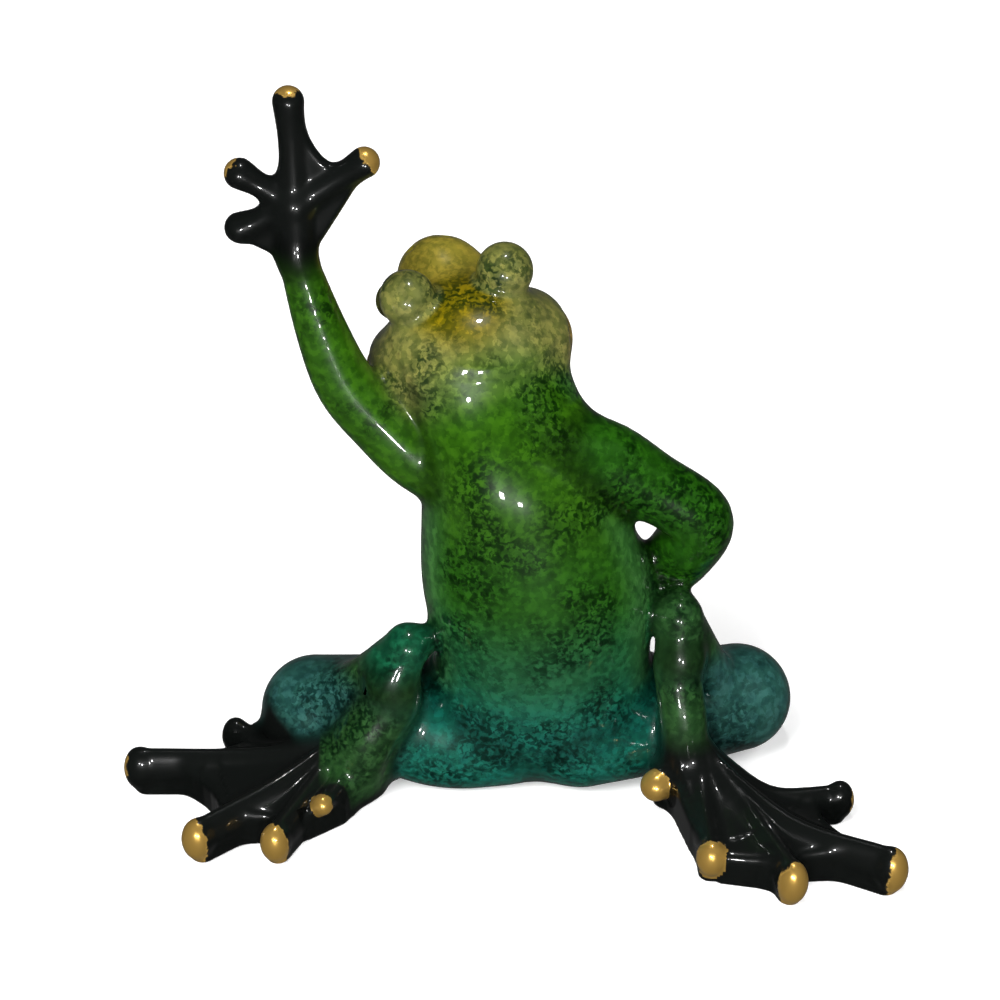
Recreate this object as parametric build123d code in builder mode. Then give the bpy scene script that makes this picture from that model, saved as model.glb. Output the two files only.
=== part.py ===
"""Frog figurine: a cast-resin frog that sits upright and waves, made of pinned castings.

Millimetres. The origin is a point near the middle of the flat seat, on the surface the frog sits on.
+Z is up, +Y is the way the frog faces, +X is towards its right hand.
"""

import os
from math import cos, radians, sin

from build123d import *

# Torso: half sizes of its oval sections, at heights that are shares of the neck's height
neck_height = 75.0
hip_share, waist_share, belly_share = 0.134, 0.36, 0.526
chest_share, shoulder_share, crown_share = 0.746, 0.866, 1.094
seat_half_width, seat_half_depth = 15.0, 6.5
hip_half_width, hip_half_depth = 19.0, 12.5
waist_half_width, waist_half_depth = 18.6, 15.0
belly_half_width, belly_half_depth = 19.4, 16.0
chest_half_width, chest_half_depth = 17.0, 14.5
shoulder_half_width, shoulder_half_depth = 15.4, 13.0
neck_half_width, neck_half_depth = 13.6, 11.5
crown_half_width, crown_half_depth = 9.0, 8.0
seat_forward = 4.0
lean_forward = 4.0
stoop_forward = 4.0
lean_left = 6.0
hip_sway = 2.0
lean_curve = 1.5

# Head: half sizes of its oval sections, at distances along its own axis from its middle
head_forward, head_left, head_rise = 8.6, 6.1, 7.2
head_roll, head_pitch, head_yaw = 6.0, 18.0, 14.5
nape_reach, nape_half_width, nape_half_height = -16.0, 11.0, 7.0
jaw_reach, jaw_half_width, jaw_half_height = -6.0, 17.4, 11.0
cheek_reach, cheek_half_width, cheek_half_height = 3.0, 16.0, 10.5
brow_reach, brow_half_width, brow_half_height = 10.0, 11.8, 9.0
snout_reach, snout_half_width, snout_half_height = 16.0, 8.4, 6.6
nose_reach, nose_half_width, nose_half_height = 19.0, 5.0, 4.0

# Eyes: round mounds on the head, each with a bead set into its front
eye_spread, eye_reach, eye_rise = 8.4, 2.0, 8.8
eye_mound_radius = 4.9
eye_bead_radius = 3.8
eye_bead_reach = 2.6
eye_bead_splay, eye_bead_dip = 25.0, 20.0

# Arms: steps from the shoulder, and the limb's radius at each
left_arm_steps = [(9, -1, -4), (0, 0, 0), (-6.4, 1, 6), (-12.4, 1.8, 13.4), (-16.2, 3, 23), (-20, 4.6, 36.7)]
left_arm_radii = [7.0, 6.2, 5.7, 5.2, 4.4, 3.1]
right_upper_arm_steps = [(-9, -1, 1), (0, 0, 0), (9, 0, -6), (17.2, -0.4, -12.6)]
right_upper_arm_radii = [7.0, 6.6, 6.0, 5.8]
right_forearm_steps = [(17.2, -0.4, -12.6), (15.4, 2.8, -21.5), (11.4, 6.8, -32)]
right_forearm_radii = [5.7, 5.4, 3.6]
elbow_radius = 6.0

# Hands: the palm's step from the wrist, and each finger end's step from the palm, thumb first
left_palm_step = (0, 1, 9)
left_finger_steps = [(-9.1, 0, -4.2), (-8.6, 0.2, 5.6), (-0.2, 1, 18), (11.6, 0.2, 7.6)]
right_palm_step = (-3.6, 4, -6)
right_finger_steps = [(-9.4, 2, 2), (-10, 2, -4), (-5.4, 1.4, -8.6), (2.2, 0.6, -7.6)]
palm_radius = 3.5
finger_root_radius = 2.6
finger_neck_radius = 2.2
finger_end_radius = 2.6
finger_knuckle_share = 0.55
hand_web_share = 0.7
hand_web_thickness = 2.2
hand_web_root_share = 0.1

# Legs: the knee's and the heel's steps from the hip joint, on the side of the torso
left_knee_step, left_heel_step = (-22.4, 1.8, 0), (-4.8, -6.5, 21.2)
right_knee_step, right_heel_step = (17.2, 4.6, 0.4), (5.2, -3.5, 25.4)
hip_depth = 12.0
leg_height = 9.6
hip_forward = 5.0
thigh_radius = 11.0
knee_radius = 9.9
shank_radius = 5.3
left_shank_sag, right_shank_sag = 2.2, 4.4
heel_radius = 3.9
joint_share = 0.94
shank_root_share = 0.8

# Feet: steps from the heel to the instep, to each knuckle and to each toe end, inner toe first
left_instep_step = (-8.7, -4.5, -19.8)
left_knuckle_steps = [(-11.6, -8.3), (-16, -8), (-24.2, -11.5), (-29.2, -3), (-22.2, 2.5)]
left_toe_steps = [(-13.7, -14.4), (-23.2, -22), (-36.8, -21.5), (-49, -3), (-32.4, 6.5)]
right_instep_step = (1.2, -8, -19.8)
right_knuckle_steps = [(-1.4, -9.4), (4.3, -17), (11.2, -18.5), (18.8, -23.5), (15.8, -14.5)]
right_toe_steps = [(-3.8, -12.1), (4.8, -27.8), (18.6, -35.3), (35.9, -31.8), (29, -14)]
heel_joint_share = 0.35
instep_radius = 3.8
toe_root_half_width, toe_root_half_height = 2.7, 3.0
toe_knuckle_half_width, toe_knuckle_half_height = 2.4, 3.0
toe_end_half_widths = [2.2, 2.6, 2.8, 3.0, 2.6]
toe_end_half_heights = [2.4, 3.8, 4.2, 4.2, 4.0]
toe_lifts = [3.6, 0.4, 0.4, 0.4, 0.4]
knuckle_height = 6.2
foot_web_shares = [0, 0.74, 0.74, 0.74, 0.74]
foot_web_bottom, foot_web_top = 0.8, 7.0

# Steel dowel pins in the glued joints
neck_pin_radius, neck_pin_half_length = 2.0, 9.0
shoulder_pin_radius, shoulder_pin_half_length = 1.5, 8.0
hip_pin_radius, hip_pin_half_length = 2.0, 9.0
wrist_pin_radius, wrist_pin_half_length = 1.0, 5.0
heel_pin_radius, heel_pin_half_length = 1.0, 4.0
pin_clearance = 0.05
pin_end_clearance = 0.3


def step_from(start, step):
    """The point one step away from start."""
    return Vector(start) + Vector(step)


def between(start, end, share):
    """The point that lies a share of the way from start to end."""
    return Vector(start) + (Vector(end) - Vector(start)) * share


def facing(origin, along):
    """A plane at origin whose normal is along, turned the same way for every limb."""
    along = Vector(along).normalized()
    across = Vector(0, 1, 0) - along * along.Y
    return Plane(origin=origin, x_dir=across, z_dir=along)


def limb(points, radii, start_along=None):
    """A smooth round limb through the points, with flat ends."""
    with BuildPart() as made:
        for i, radius in enumerate(radii):
            before, after = points[max(i - 1, 0)], points[min(i + 1, len(points) - 1)]
            along = start_along if start_along and i == 0 else after - before
            with BuildSketch(facing(points[i], along)):
                Circle(radius)
        loft()
    return made.part


def ball(middle, radius, outward, pole=(0, 0, 1)):
    """A whole ball at a point, with its seam on the outward side and its poles along pole."""
    across = Vector(pole).cross(Vector(outward))
    with BuildPart(Plane(origin=middle, x_dir=across.cross(Vector(pole)), z_dir=pole)) as made:
        Sphere(radius)
    return made.part


def rod(plane, radius, half_length):
    """A round rod, as long on both sides of the plane."""
    with BuildPart() as made:
        with BuildSketch(plane):
            Circle(radius)
        extrude(amount=half_length, both=True)
    return made.part


def pin_hole(plane, radius, half_length):
    """The hole that a dowel pin is glued into."""
    return rod(plane, radius + pin_clearance, half_length + pin_end_clearance)


def web(left_points, right_points, thickness):
    """A web between two digits, through the points of each."""
    middles = [between(left, right, 0.5) for left, right in zip(left_points, right_points)]
    with BuildPart() as made:
        for i, (left, right) in enumerate(zip(left_points, right_points)):
            across = right - left
            along = middles[max(i, 1)] - middles[max(i, 1) - 1]
            along = along - across * (along.dot(across) / across.dot(across))
            with BuildSketch(Plane(origin=middles[i], x_dir=across, z_dir=along)):
                Rectangle(across.length, thickness)
        loft(ruled=True)
    return made.part


def finger_tip(end, along):
    """A domed finger end that sits on the finger's flat end face."""
    plane = facing(end, along)
    with BuildPart(plane) as made:
        Sphere(finger_end_radius)
        split(bisect_by=plane, keep=Keep.TOP)
    return made.part


def upright(origin, along):
    """A plane at origin whose normal is along and whose X direction is level."""
    return Plane(origin=origin, x_dir=Vector(along).cross(Vector(0, 0, 1)), z_dir=along)


def toe(root, knuckle, end, half_width, half_height):
    """A toe of oval section, which ends in an upright face."""
    level = Vector(end.X - knuckle.X, end.Y - knuckle.Y, 0)
    with BuildPart() as made:
        with BuildSketch(upright(root, knuckle - root)):
            Ellipse(toe_root_half_width, toe_root_half_height)
        with BuildSketch(upright(knuckle, end - root)):
            Ellipse(toe_knuckle_half_width, toe_knuckle_half_height)
        with BuildSketch(upright(end, level)):
            Ellipse(half_width, half_height)
        loft()
    return made.part


def toe_tip(knuckle, end, half_width, half_height):
    """A domed toe end that sits on the toe's upright face."""
    level = Vector(end.X - knuckle.X, end.Y - knuckle.Y, 0)
    with BuildPart() as made:
        with BuildSketch(upright(end, -level)):
            with BuildLine():
                EllipticalCenterArc((0, 0), half_width, half_height, start_angle=-90, arc_size=180)
                Line((0, half_height), (0, -half_height))
            make_face()
        revolve(axis=Axis(end, (0, 0, 1)), revolution_arc=180)
    return made.part


# Torso: an oval body that leans forward and to its left as it rises

waist_height, shoulder_height = neck_height * waist_share, neck_height * shoulder_share


def sway(height):
    """How far the torso's middle lies to the right at a height."""
    share = max(height - waist_height, 0) / (neck_height - waist_height)
    return hip_sway - (hip_sway + lean_left) * share**lean_curve


def torso_middle(height):
    """The middle of the torso at a height."""
    stoop = stoop_forward * max(height - shoulder_height, 0) / (neck_height - shoulder_height)
    return Vector(sway(height), seat_forward + lean_forward * height / neck_height + stoop, height)


torso_sections = [
    (0, seat_half_width, seat_half_depth),
    (neck_height * hip_share, hip_half_width, hip_half_depth),
    (waist_height, waist_half_width, waist_half_depth),
    (neck_height * belly_share, belly_half_width, belly_half_depth),
    (neck_height * chest_share, chest_half_width, chest_half_depth),
    (shoulder_height, shoulder_half_width, shoulder_half_depth),
    (neck_height, neck_half_width, neck_half_depth),
    (neck_height * crown_share, crown_half_width, crown_half_depth),
]
with BuildPart() as torso_body:
    for height, half_width, half_depth in torso_sections:
        with BuildSketch(Plane(origin=torso_middle(height))):
            Ellipse(half_width, half_depth)
    loft()

# Places of the joints on the torso
neck = torso_middle(neck_height)
left_shoulder = torso_middle(shoulder_height) - Vector(shoulder_half_width, 0, 0)
right_shoulder = torso_middle(shoulder_height) + Vector(shoulder_half_width, 0, 0)
left_hip = Vector(hip_sway - hip_half_width, hip_forward, leg_height)
right_hip = Vector(hip_sway + hip_half_width, hip_forward, leg_height)

# Head: ovals square to its own axis, which is tilted towards the raised arm
right_way = Vector(cos(radians(head_roll)), 0, sin(radians(head_roll)))
up_way = Vector(-sin(radians(head_roll)), 0, cos(radians(head_roll)))
level_way = Vector(0, cos(radians(head_pitch)), 0) + up_way * sin(radians(head_pitch))
forward_way = level_way * cos(radians(head_yaw)) - right_way * sin(radians(head_yaw))
side_way = right_way * cos(radians(head_yaw)) + level_way * sin(radians(head_yaw))
head_middle = step_from(neck, (-head_left, head_forward, head_rise))
head_plane = Plane(origin=head_middle, x_dir=side_way, z_dir=-forward_way)
head_sections = [
    (nape_reach, nape_half_width, nape_half_height),
    (jaw_reach, jaw_half_width, jaw_half_height),
    (cheek_reach, cheek_half_width, cheek_half_height),
    (brow_reach, brow_half_width, brow_half_height),
    (snout_reach, snout_half_width, snout_half_height),
    (nose_reach, nose_half_width, nose_half_height),
]
eye_steps = [Vector(side * eye_spread, eye_rise, -eye_reach) for side in (-1, 1)]
eye_middles = [head_plane.from_local_coords(step) for step in eye_steps]
eye_mounds = []
eye_beads = []
for side, middle in zip((-1, 1), eye_middles):
    gaze = forward_way * cos(radians(eye_bead_splay)) + side_way * side * sin(radians(eye_bead_splay))
    gaze = gaze * cos(radians(eye_bead_dip)) - up_way * sin(radians(eye_bead_dip))
    eye_mounds.append(ball(middle, eye_mound_radius, up_way - forward_way, gaze))
    eye_beads.append(ball(middle + gaze * eye_bead_reach, eye_bead_radius, up_way, gaze))

neck_plane = facing(neck, up_way)
neck_hole = pin_hole(neck_plane, neck_pin_radius, neck_pin_half_length)
with BuildPart() as head:
    for reach, half_width, half_height in head_sections:
        with BuildSketch(head_plane.offset(-reach)):
            Ellipse(half_width, half_height)
    loft()
    add(eye_mounds)
    add([torso_body.part, neck_hole], mode=Mode.SUBTRACT)
    add(eye_beads, mode=Mode.SUBTRACT)

# Arms
left_arm_points = [step_from(left_shoulder, s) for s in left_arm_steps]
left_shoulder_plane = facing(left_shoulder, left_arm_points[2] - left_arm_points[0])
left_wrist, left_wrist_along = left_arm_points[-1], left_arm_points[-1] - left_arm_points[-2]
left_wrist_plane = facing(left_wrist, left_wrist_along)
left_shoulder_hole = pin_hole(left_shoulder_plane, shoulder_pin_radius, shoulder_pin_half_length)
left_wrist_hole = pin_hole(left_wrist_plane, wrist_pin_radius, wrist_pin_half_length)
left_arm_skin = limb(left_arm_points, left_arm_radii)
with BuildPart() as left_arm:
    add(left_arm_skin)
    add(torso_body.part, mode=Mode.SUBTRACT)
    add(head.part, mode=Mode.SUBTRACT)
    add([left_shoulder_hole, left_wrist_hole], mode=Mode.SUBTRACT)

upper_arm_points = [step_from(right_shoulder, s) for s in right_upper_arm_steps]
forearm_points = [step_from(right_shoulder, s) for s in right_forearm_steps]
right_shoulder_plane = facing(right_shoulder, upper_arm_points[2] - upper_arm_points[0])
right_wrist, right_wrist_along = forearm_points[-1], forearm_points[-1] - forearm_points[-2]
right_wrist_plane = facing(right_wrist, right_wrist_along)
right_shoulder_hole = pin_hole(right_shoulder_plane, shoulder_pin_radius, shoulder_pin_half_length)
right_wrist_hole = pin_hole(right_wrist_plane, wrist_pin_radius, wrist_pin_half_length)
upper_arm_skin = limb(upper_arm_points, right_upper_arm_radii)
forearm_skin = limb(forearm_points, right_forearm_radii)
elbow = upper_arm_points[-1]
elbow_skin = ball(elbow, elbow_radius, elbow - between(right_shoulder, right_wrist, 0.5))
with BuildPart() as right_arm:
    add([upper_arm_skin, forearm_skin, elbow_skin])
    add(torso_body.part, mode=Mode.SUBTRACT)
    add([right_shoulder_hole, right_wrist_hole], mode=Mode.SUBTRACT)


# Hands

def hand_pieces(wrist, along, wrist_radius, palm_step, finger_steps):
    """The palm, fingers and webs of a hand, and its four finger tips."""
    palm = step_from(wrist, palm_step)
    wrist_radii = [wrist_radius, palm_radius * joint_share, palm_radius * joint_share]
    skins = [limb([wrist, between(wrist, palm, 0.5), palm], wrist_radii, along)]
    skins.append(ball(palm, palm_radius, (0, -1, 0)))
    ends = [step_from(palm, s) for s in finger_steps]
    tips = []
    for end in ends:
        knuckle = between(palm, end, finger_knuckle_share)
        skins.append(limb([palm, knuckle, end], [finger_root_radius, finger_neck_radius, finger_end_radius]))
        tips.append(finger_tip(end, end - knuckle))
    for first, second in zip(ends, ends[1:]):
        rows = []
        for end in (first, second):
            rows.append([between(palm, end, hand_web_root_share), between(palm, end, hand_web_share)])
        skins.append(web(*rows, hand_web_thickness))
    return skins, tips


left_hand_skins, left_tips = hand_pieces(
    left_wrist, left_wrist_along, left_arm_radii[-1], left_palm_step, left_finger_steps
)
with BuildPart() as left_hand:
    add(left_hand_skins)
    add(left_wrist_hole, mode=Mode.SUBTRACT)

right_hand_skins, right_tips = hand_pieces(
    right_wrist, right_wrist_along, right_forearm_radii[-1], right_palm_step, right_finger_steps
)
with BuildPart() as right_hand:
    add(right_hand_skins)
    add([torso_body.part, right_wrist_hole], mode=Mode.SUBTRACT)

with BuildPart() as left_finger_tips:
    add(left_tips)

with BuildPart() as right_finger_tips:
    add(right_tips)
    add(torso_body.part, mode=Mode.SUBTRACT)


# Legs

def leg_skins(hip, knee, heel, heel_joint, sag):
    """The thigh, the folded shank and the stub below the heel that carries the foot."""
    inner = hip + (hip - knee).normalized() * hip_depth
    shank_middle = between(knee, heel, 0.5) - Vector(0, 0, sag)
    return [
        limb([inner, hip, knee], [thigh_radius, thigh_radius, knee_radius * joint_share]),
        ball(knee, knee_radius, knee - hip),
        limb(
            [knee, shank_middle, heel],
            [knee_radius * shank_root_share, shank_radius, heel_radius * joint_share],
        ),
        ball(heel, heel_radius, heel - between(knee, heel_joint, 0.5)),
        limb([heel, heel_joint], [instep_radius, instep_radius]),
    ]


left_knee, left_heel = step_from(left_hip, left_knee_step), step_from(left_hip, left_heel_step)
left_instep = step_from(left_heel, left_instep_step)
left_heel_joint = between(left_heel, left_instep, heel_joint_share)
left_hip_plane = facing(left_hip, left_knee - left_hip)
left_heel_plane = facing(left_heel_joint, left_instep - left_heel)
left_leg_skins = leg_skins(left_hip, left_knee, left_heel, left_heel_joint, left_shank_sag)
left_hip_hole = pin_hole(left_hip_plane, hip_pin_radius, hip_pin_half_length)
left_heel_hole = pin_hole(left_heel_plane, heel_pin_radius, heel_pin_half_length)
with BuildPart() as left_leg:
    add(left_leg_skins)
    add([torso_body.part, left_hip_hole, left_heel_hole], mode=Mode.SUBTRACT)
    split(bisect_by=Plane.XY, keep=Keep.TOP)

right_knee, right_heel = step_from(right_hip, right_knee_step), step_from(right_hip, right_heel_step)
right_instep = step_from(right_heel, right_instep_step)
right_heel_joint = between(right_heel, right_instep, heel_joint_share)
right_hip_plane = facing(right_hip, right_knee - right_hip)
right_heel_plane = facing(right_heel_joint, right_instep - right_heel)
right_leg_skins = leg_skins(right_hip, right_knee, right_heel, right_heel_joint, right_shank_sag)
right_hip_hole = pin_hole(right_hip_plane, hip_pin_radius, hip_pin_half_length)
right_heel_hole = pin_hole(right_heel_plane, heel_pin_radius, heel_pin_half_length)
with BuildPart() as right_leg:
    add(right_leg_skins)
    add([torso_body.part, right_hip_hole, right_heel_hole], mode=Mode.SUBTRACT)
    split(bisect_by=Plane.XY, keep=Keep.TOP)


# Feet

def foot_web(corners):
    """A web of even height between the corners, which lie on the toes."""
    with BuildPart() as made:
        with BuildSketch(Plane.XY.offset(foot_web_bottom)):
            with BuildLine():
                Polyline([(corner.X, corner.Y) for corner in corners], close=True)
            make_face()
        extrude(amount=foot_web_top - foot_web_bottom)
    return made.part


def foot_pieces(heel, heel_joint, instep, knuckle_steps, toe_steps):
    """The instep, the post below it, the toes and web of a foot, and its five toe tips."""
    post_radius = instep_radius * joint_share
    skins = [
        limb([heel_joint, instep], [instep_radius, instep_radius]),
        limb([instep, Vector(instep.X, instep.Y, 0)], [post_radius, post_radius]),
        ball(instep, instep_radius, -Vector(*toe_steps[3])),
    ]
    corners, tips = [instep], []
    for i, (half_width, half_height) in enumerate(zip(toe_end_half_widths, toe_end_half_heights)):
        knuckle = Vector(heel.X + knuckle_steps[i][0], heel.Y + knuckle_steps[i][1], knuckle_height)
        end = Vector(heel.X + toe_steps[i][0], heel.Y + toe_steps[i][1], half_height + toe_lifts[i])
        corners.append(between(knuckle, end, foot_web_shares[i]))
        skins.append(toe(instep, knuckle, end, half_width, half_height))
        tips.append(toe_tip(knuckle, end, half_width, half_height))
    skins.append(foot_web(corners))
    return skins, tips


left_foot_skins, left_toes = foot_pieces(
    left_heel, left_heel_joint, left_instep, left_knuckle_steps, left_toe_steps
)
with BuildPart() as left_foot:
    add(left_foot_skins)
    add([left_leg.part, left_heel_hole], mode=Mode.SUBTRACT)

right_foot_skins, right_toes = foot_pieces(
    right_heel, right_heel_joint, right_instep, right_knuckle_steps, right_toe_steps
)
with BuildPart() as right_foot:
    add(right_foot_skins)
    add([right_leg.part, right_heel_hole], mode=Mode.SUBTRACT)

with BuildPart() as left_toe_tips:
    add(left_toes)

with BuildPart() as right_toe_tips:
    add(right_toes)

# Torso with its pin holes
with BuildPart() as torso:
    add(torso_body.part)
    add([neck_hole, left_shoulder_hole, right_shoulder_hole], mode=Mode.SUBTRACT)
    add([left_hip_hole, right_hip_hole], mode=Mode.SUBTRACT)

# Export: one file for each piece
pieces = {
    "torso": torso.part,
    "head": head.part,
    "left_eye": eye_beads[0],
    "right_eye": eye_beads[1],
    "left_arm": left_arm.part,
    "left_hand": left_hand.part,
    "left_finger_tips": left_finger_tips.part,
    "right_arm": right_arm.part,
    "right_hand": right_hand.part,
    "right_finger_tips": right_finger_tips.part,
    "left_leg": left_leg.part,
    "left_foot": left_foot.part,
    "left_toe_tips": left_toe_tips.part,
    "right_leg": right_leg.part,
    "right_foot": right_foot.part,
    "right_toe_tips": right_toe_tips.part,
    "neck_pin": rod(neck_plane, neck_pin_radius, neck_pin_half_length),
    "left_shoulder_pin": rod(left_shoulder_plane, shoulder_pin_radius, shoulder_pin_half_length),
    "right_shoulder_pin": rod(right_shoulder_plane, shoulder_pin_radius, shoulder_pin_half_length),
    "left_wrist_pin": rod(left_wrist_plane, wrist_pin_radius, wrist_pin_half_length),
    "right_wrist_pin": rod(right_wrist_plane, wrist_pin_radius, wrist_pin_half_length),
    "left_hip_pin": rod(left_hip_plane, hip_pin_radius, hip_pin_half_length),
    "right_hip_pin": rod(right_hip_plane, hip_pin_radius, hip_pin_half_length),
    "left_heel_pin": rod(left_heel_plane, heel_pin_radius, heel_pin_half_length),
    "right_heel_pin": rod(right_heel_plane, heel_pin_radius, heel_pin_half_length),
}
os.makedirs("parts", exist_ok=True)
for name, piece in pieces.items():
    piece.label = name
    export_step(piece, f"parts/{name}.step")
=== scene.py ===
"""Looks of the frog figurine: one smooth glazed skin laid over the castings, and the stage around it.

Lengths are in millimetres until a mesh is made, and in metres from there on.
"""

import bpy
import numpy as np
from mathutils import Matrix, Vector


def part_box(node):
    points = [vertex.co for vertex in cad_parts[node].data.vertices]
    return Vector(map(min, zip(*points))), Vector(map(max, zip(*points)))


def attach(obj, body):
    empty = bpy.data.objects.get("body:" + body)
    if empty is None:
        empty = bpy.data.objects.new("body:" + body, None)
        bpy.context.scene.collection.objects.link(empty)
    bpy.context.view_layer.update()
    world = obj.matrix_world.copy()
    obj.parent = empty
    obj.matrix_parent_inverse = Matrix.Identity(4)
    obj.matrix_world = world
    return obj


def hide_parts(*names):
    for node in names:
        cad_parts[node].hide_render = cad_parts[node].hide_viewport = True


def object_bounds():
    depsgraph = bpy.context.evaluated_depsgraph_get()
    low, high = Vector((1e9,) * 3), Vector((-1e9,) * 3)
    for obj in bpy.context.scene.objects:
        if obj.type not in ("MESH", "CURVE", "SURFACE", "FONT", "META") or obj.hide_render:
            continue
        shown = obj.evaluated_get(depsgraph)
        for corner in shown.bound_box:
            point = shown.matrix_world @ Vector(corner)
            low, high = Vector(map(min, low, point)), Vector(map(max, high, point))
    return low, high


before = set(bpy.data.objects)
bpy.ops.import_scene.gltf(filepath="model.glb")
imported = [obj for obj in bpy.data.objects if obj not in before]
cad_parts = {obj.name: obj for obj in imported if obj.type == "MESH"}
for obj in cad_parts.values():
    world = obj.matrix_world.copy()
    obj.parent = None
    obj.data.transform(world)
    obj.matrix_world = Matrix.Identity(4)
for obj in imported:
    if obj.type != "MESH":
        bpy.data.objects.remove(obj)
cad_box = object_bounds()

MM = 0.001
TINY = 1e-6
SHORTEST_ROD = 1e-3
CURVE_STEPS, RIM_STEPS = 6, 9

# Lattice: the step between its points, the room kept round forms, and the distance far from them
CELL = 0.45
SLOPE_REACH = 0.75 * CELL
MARGIN = 3 * CELL
REACH = 12.0
FAR = 20.0
BODY_LOW, BODY_HIGH = [np.array(corner) / MM + way * MARGIN for corner, way in zip(cad_box, (-1, 1))]


def middle(node):
    """The middle of a node's box, in millimetres."""
    low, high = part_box(node)
    return (np.array(low) + np.array(high)) / 2 / MM


def unit(step):
    """The direction of a step."""
    step = np.array(step, float)
    return step / np.linalg.norm(step)


def steps_from(start, steps):
    """The points at steps away from start."""
    return np.array(start) + np.array(steps, float)


def seen_along(ways, origin, x, y, z):
    """Points as distances from an origin along directions."""
    steps = x - origin[0], y - origin[1], z - origin[2]
    return [sum(step * np.float32(part) for step, part in zip(steps, way)) for way in ways]


# Torso: its oval sections from the seat up, and the line through their middles
NECK_HEIGHT = 75.0
TORSO_HEIGHTS = NECK_HEIGHT * np.array([0.0, 0.134, 0.36, 0.526, 0.746, 0.866, 1.0, 1.094])
TORSO_HALF_WIDTHS = np.array([15.0, 19.4, 19.4, 20.2, 17.4, 15.4, 13.6, 9.0])
TORSO_HALF_DEPTHS = np.array([6.0, 11.8, 15.0, 16.0, 14.5, 13.0, 11.5, 8.0])
SEAT_X, SEAT_Y = 2.0, 4.0
LEFT_LEAN, LEAN_BEND = 8.0, 1.5
FORWARD_LEAN, NECK_STOOP = 4.0, 4.0
waist_height, shoulder_height = TORSO_HEIGHTS[2], TORSO_HEIGHTS[5]
lean = (np.maximum(TORSO_HEIGHTS - waist_height, 0) / (NECK_HEIGHT - waist_height)) ** LEAN_BEND
stoop = np.maximum(TORSO_HEIGHTS - shoulder_height, 0) / (NECK_HEIGHT - shoulder_height)
TORSO_MIDDLES_X = SEAT_X - LEFT_LEAN * lean
TORSO_MIDDLES_Y = SEAT_Y + FORWARD_LEAN * TORSO_HEIGHTS / NECK_HEIGHT + NECK_STOOP * stoop

# Head: its own directions, tilted towards the raised arm, and its lumps as (middle, half sizes)
ROLL, PITCH, YAW = np.radians([6.0, 18.0, 14.5])
right_way = np.array([np.cos(ROLL), 0, np.sin(ROLL)])
HEAD_UP = np.array([-np.sin(ROLL), 0, np.cos(ROLL)])
level_way = np.array([0, np.cos(PITCH), 0]) + HEAD_UP * np.sin(PITCH)
HEAD_SIDE = right_way * np.cos(YAW) + level_way * np.sin(YAW)
HEAD_FORWARD = level_way * np.cos(YAW) - right_way * np.sin(YAW)
HEAD_WAYS = np.array([HEAD_SIDE, np.cross(HEAD_SIDE, HEAD_FORWARD), HEAD_FORWARD])
HEAD_MIDDLE = middle("neck_pin") + np.array([-6.1, 8.6, 7.2])
SKULL = ((0, 0.3, -4), (15.4, 10.2, 13))
LIPS = ((0, -2.5, -3), (17.6, 5.5, 13))
JOWLS = [((-12.2, -2.4, -3), (4.2, 4.4, 8)), ((12.9, -1.9, -3), (4.7, 4.7, 8))]
SNOUT = ((0.4, 0, 8), (9.0, 7.6, 10.4))
NOSE = ((-0.5, 1.9, 13.4), (6.6, 6.4, 5.6))
THROAT = ((0, -6, -3), (12.5, 6.5, 12))
EYE_MOUNDS = [(-7.9, 9.6, 2.0), (9.3, 9.6, 2.0)]
EYE_MOUND_RADIUS = 4.9
BEAD_RADIUS = 3.8
NOSTRILS = [(-3.9, 6.0, 15.8), (2.1, 6.0, 15.8)]
NOSTRIL_RADIUS, NOSTRIL_DEPTH = 0.9, 1.2
MOUTH_DROP, MOUTH_BOW, MOUTH_HALF_HEIGHT, MOUTH_DEPTH = 3.4, 0.008, 0.5, 0.7
MOUTH_BACK, MOUTH_FADE = 9.0, 4.0
HEAD_BLEND, EYE_MOUND_BLEND, EYE_SOCKET_BLEND = 3.0, 1.6, 0.5
HEAD_REACH = 40.0

# Arms: points from inside the torso to the wrist, and the radius at each
left_shoulder, right_shoulder = middle("left_shoulder_pin"), middle("right_shoulder_pin")
LEFT_ARM = steps_from(
    left_shoulder,
    [(9, -1, -4), (0, 0, 0), (-6.4, 1, 6), (-12.4, 1.8, 13.4), (-16.2, 3, 23), (-20, 4.6, 36.7)],
)
LEFT_ARM_RADII = [7.0, 6.2, 5.7, 5.2, 4.4, 3.1]
RIGHT_ARM = steps_from(
    right_shoulder,
    [(-9, -1, 1), (0, 0, 0), (9, 0, -6), (17.2, -0.4, -12.6), (15.4, 2.8, -21.5), (11.4, 6.8, -32)],
)
RIGHT_ARM_RADII = [7.0, 6.6, 6.0, 6.0, 6.0, 4.2]

# Hands: the palm, the finger ends, the way the back faces, and the webs' rims as steps from the palm
left_wrist, right_wrist = middle("left_wrist_pin"), middle("right_wrist_pin")
LEFT_PALM = left_wrist + np.array([0, 1, 9])
LEFT_FINGERS = steps_from(LEFT_PALM, [(-9.1, 0, -4.2), (-8.6, 0.2, 5.6), (-0.2, 1, 18), (11.6, 0.2, 7.6)])
LEFT_HAND_BACK = unit((0, -1, 0.06))
RIGHT_PALM = right_wrist + np.array([-3.6, 4, -6])
RIGHT_FINGERS = steps_from(RIGHT_PALM, [(-9.4, 2, 2), (-10, 2, -4), (-5.4, 1.4, -8.6), (0.8, 1.2, -6.8)])
RIGHT_HAND_BACK = unit((0.2, 1, 0.1))
WRIST_RADIUS, PALM_RADIUS = 3.1, 3.3
FINGER_RADII = [2.6, 2.1, 2.1, 2.6]
FINGER_STATIONS = [0.0, 0.4, 0.7, 1.0]
LONG_FINGER = 2
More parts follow.
